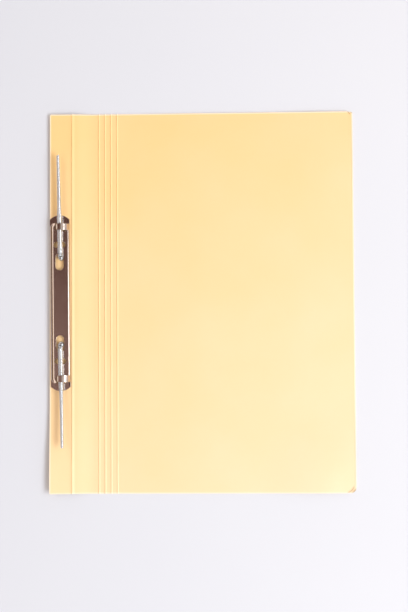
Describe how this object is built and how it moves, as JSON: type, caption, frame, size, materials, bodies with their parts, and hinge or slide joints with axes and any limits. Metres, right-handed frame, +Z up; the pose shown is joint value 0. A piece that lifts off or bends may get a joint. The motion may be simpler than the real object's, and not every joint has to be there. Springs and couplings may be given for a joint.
{
  "type": "manila spring file",
  "caption": "Manila card file with a scored front cover, a pressed steel clip at the bound edge and coil-spring prongs folded under its hooks.",
  "frame": {"origin": "on the table under the middle of the back cover", "axes": "+X from the bound edge to the free edge, +Y to the file's top edge, +Z up from the table"},
  "size_m": [0.28, 0.35, 0.0132],
  "materials": {
    "manila_card": "matt buff card with fine fibres",
    "nickel_plate": "bright nickel-plated pressed steel",
    "spring_steel": "plated close-wound spring wire",
    "zinc_steel": "dull zinc-plated steel"
  },
  "bodies": {
    "root": {"back_cover": "manila_card", "front_strip": "manila_card", "base_strip": "zinc_steel", "clip_plate": "nickel_plate", "post_upper": "zinc_steel", "post_lower": "zinc_steel"},
    "front_leaf": {"front_cover": "manila_card"},
    "upper_spring": {"prong_upper": "spring_steel"},
    "lower_spring": {"prong_lower": "spring_steel"}
  },
  "joints": [
    {"name": "cover_hinge", "type": "hinge", "parent": "root", "child": "front_leaf", "pos_m": [-0.1195, 0, 0.00343], "axis": [0, -1, 0], "range_deg": [0, 110]},
    {"name": "upper_prong_swing", "type": "hinge", "parent": "root", "child": "upper_spring", "pos_m": [-0.1295, 0.0416, 0.009], "axis": [0, 0, 1], "range_deg": [0, 60]},
    {"name": "lower_prong_swing", "type": "hinge", "parent": "root", "child": "lower_spring", "pos_m": [-0.1295, -0.0384, 0.009], "axis": [0, 0, -1], "range_deg": [0, 60]}
  ]
}
